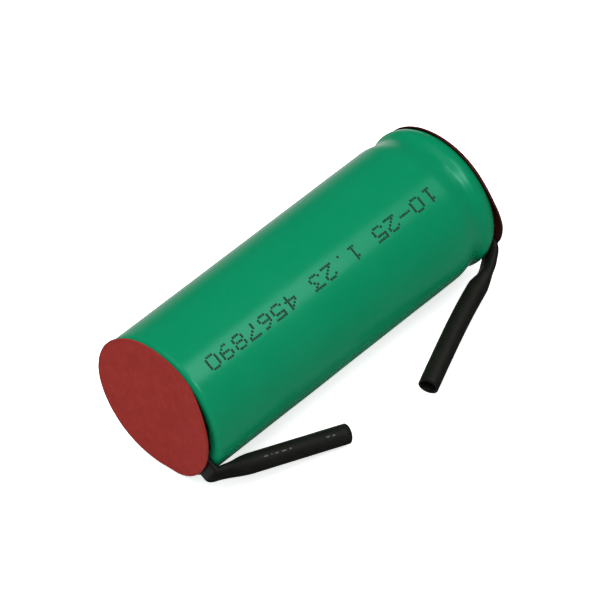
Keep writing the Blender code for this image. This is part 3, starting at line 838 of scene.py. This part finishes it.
# %% Floor
FLOOR_HALF_WIDTH = 1.5
FLOOR_GAP = 0.03
EVEN_LIGHT = 0.68
floor_shape = bmesh.new()
bmesh.ops.create_grid(floor_shape, x_segments=1, y_segments=1, size=FLOOR_HALF_WIDTH)
floor_place = Vector((0.0, 0.0, MIDDLE.z - RADIUS - FLOOR_GAP * MM))
bmesh.ops.translate(floor_shape, verts=floor_shape.verts[:], vec=floor_place)
floor_finish = bpy.data.materials.new("pale_floor")
floor_finish.use_nodes = True
floor_shader = floor_finish.node_tree.nodes["Principled BSDF"]
floor_shader.inputs["Base Color"].default_value = (0.92, 0.92, 0.92, 1.0)
floor_shader.inputs["Roughness"].default_value = 1.0
floor_shader.inputs["Specular IOR Level"].default_value = 0.0
floor_shader.inputs["Emission Color"].default_value = (1.0, 1.0, 1.0, 1.0)
seen = floor_finish.node_tree.nodes.new("ShaderNodeLightPath")
glow = floor_finish.node_tree.nodes.new("ShaderNodeMath")
glow.operation = "MULTIPLY"
glow.inputs[1].default_value = EVEN_LIGHT
floor_finish.node_tree.links.new(seen.outputs["Is Camera Ray"], glow.inputs[0])
floor_finish.node_tree.links.new(glow.outputs["Value"], floor_shader.inputs["Emission Strength"])
floor = add_piece("studio_floor", floor_shape, floor_finish)
floor.visible_glossy = False
print("floor at", round(floor_place.z / MM, 3), "mm")

# %% Even light from the world
world = bpy.data.worlds.new("studio")
world.use_nodes = True
bpy.context.scene.world = world
world_nodes = world.node_tree.nodes
world_link = world.node_tree.links.new
even_light = world_nodes["Background"]
even_light.inputs["Color"].default_value = (1.0, 1.0, 1.0, 1.0)
even_light.inputs["Strength"].default_value = EVEN_LIGHT
print("the world's even light is", EVEN_LIGHT)

# %% The mirrored table, from side to side
TABLE_STEPS = (
    (0.00, 0.00), (0.12, 0.00), (0.20, 0.10), (0.28, 0.12), (0.335, 0.02), (0.41, 0.02), (0.48, 0.08),
    (0.55, 0.10), (0.665, 0.15), (0.815, 0.85), (0.8515, 0.62), (0.883, 0.48), (0.9065, 0.35), (0.93, 0.27),
)
direction = world_nodes.new("ShaderNodeTexCoord")
parts = world_nodes.new("ShaderNodeSeparateXYZ")
world_link(direction.outputs["Generated"], parts.inputs["Vector"])
sideways = world_nodes.new("ShaderNodeMapRange")
sideways.inputs["From Min"].default_value = -1.0
world_link(parts.outputs["Y"], sideways.inputs["Value"])
table = world_nodes.new("ShaderNodeValToRGB")
stops = table.color_ramp.elements
for _ in TABLE_STEPS[2:]:
    stops.new(0.5)
for stop, (place, value) in zip(stops, TABLE_STEPS):
    stop.position = place
    stop.color = (value, value, value, 1.0)
world_link(sideways.outputs["Result"], table.inputs["Fac"])
print("the mirrored table has", len(stops), "steps")

# %% Shade the table under the cell, and fade it out above the horizon
UNDER_CELL = (-0.80, -0.73)
UNDER_CELL_SHARE = 0.5
HORIZON = (0.08, -0.25)
OVERHEAD_GLOSS = 0.012
below = world_nodes.new("ShaderNodeMapRange")
below.inputs["From Min"].default_value, below.inputs["From Max"].default_value = UNDER_CELL
below.inputs["To Min"].default_value = UNDER_CELL_SHARE
world_link(parts.outputs["Z"], below.inputs["Value"])
shaded_table = world_nodes.new("ShaderNodeMath")
shaded_table.operation = "MULTIPLY"
world_link(table.outputs["Color"], shaded_table.inputs[0])
world_link(below.outputs["Result"], shaded_table.inputs[1])
horizon = world_nodes.new("ShaderNodeMapRange")
horizon.interpolation_type = "SMOOTHSTEP"
horizon.inputs["From Min"].default_value, horizon.inputs["From Max"].default_value = HORIZON
world_link(parts.outputs["Z"], horizon.inputs["Value"])
seen_table = world_nodes.new("ShaderNodeMath")
seen_table.operation = "MULTIPLY_ADD"
seen_table.inputs[2].default_value = OVERHEAD_GLOSS
world_link(shaded_table.outputs["Value"], seen_table.inputs[0])
world_link(horizon.outputs["Result"], seen_table.inputs[1])
print("straight down, the table keeps", UNDER_CELL_SHARE, "of its light")

# %% Give each kind of ray its own light
mirrored = world_nodes.new("ShaderNodeBackground")
mirrored.inputs["Color"].default_value = (1.0, 1.0, 1.0, 1.0)
ray = world_nodes.new("ShaderNodeLightPath")
choice = world_nodes.new("ShaderNodeMixShader")
world_link(seen_table.outputs["Value"], mirrored.inputs["Strength"])
world_link(ray.outputs["Is Glossy Ray"], choice.inputs["Fac"])
world_link(even_light.outputs["Background"], choice.inputs[1])
world_link(mirrored.outputs["Background"], choice.inputs[2])
world_link(choice.outputs["Shader"], world_nodes["World Output"].inputs["Surface"])
bpy.context.scene.view_settings.view_transform = "Standard"
print("world nodes:", len(world_nodes))


# %% Soft boxes
def add_soft_box(name, direction, centre, distance, size, power, seen_in_gloss):
    """A flat light that faces the cell, with one side along it. It lights dull colours or gloss."""
    light = bpy.data.lights.new(name, "AREA")
    light.shape = "RECTANGLE"
    light.size, light.size_y = size
    light.energy = power
    box = bpy.data.objects.new(name, light)
    way = Vector(direction).normalized()
    long_side = (Vector((1.0, 0.0, 0.0)) - way * way.x).normalized()
    turn = Matrix((long_side, way.cross(long_side), way)).transposed().to_4x4()
    box.matrix_world = Matrix.Translation(MIDDLE + Vector((centre, 0.0, 0.0)) + way * distance) @ turn
    box.visible_camera = False
    box.visible_glossy = seen_in_gloss
    box.visible_diffuse = not seen_in_gloss
    bpy.context.scene.collection.objects.link(box)
    return box


BAND_WAY = (0.507, -0.347, 0.790)
add_soft_box("overhead_soft_box", (-0.25, 0.0, 1.0), 0.0, 0.6, (0.6, 0.6), 4.7, False)
add_soft_box("band_soft_box", BAND_WAY, 0.0, 0.45, (0.24, 0.205), 0.12, True)
add_soft_box("near_band_soft_box", BAND_WAY, -0.030, 0.15, (0.052, 0.068), 0.018, True)
add_soft_box("front_soft_box", (-0.04, -0.59, 0.795), 0.0, 0.45, (0.22, 0.15), 0.42, True)
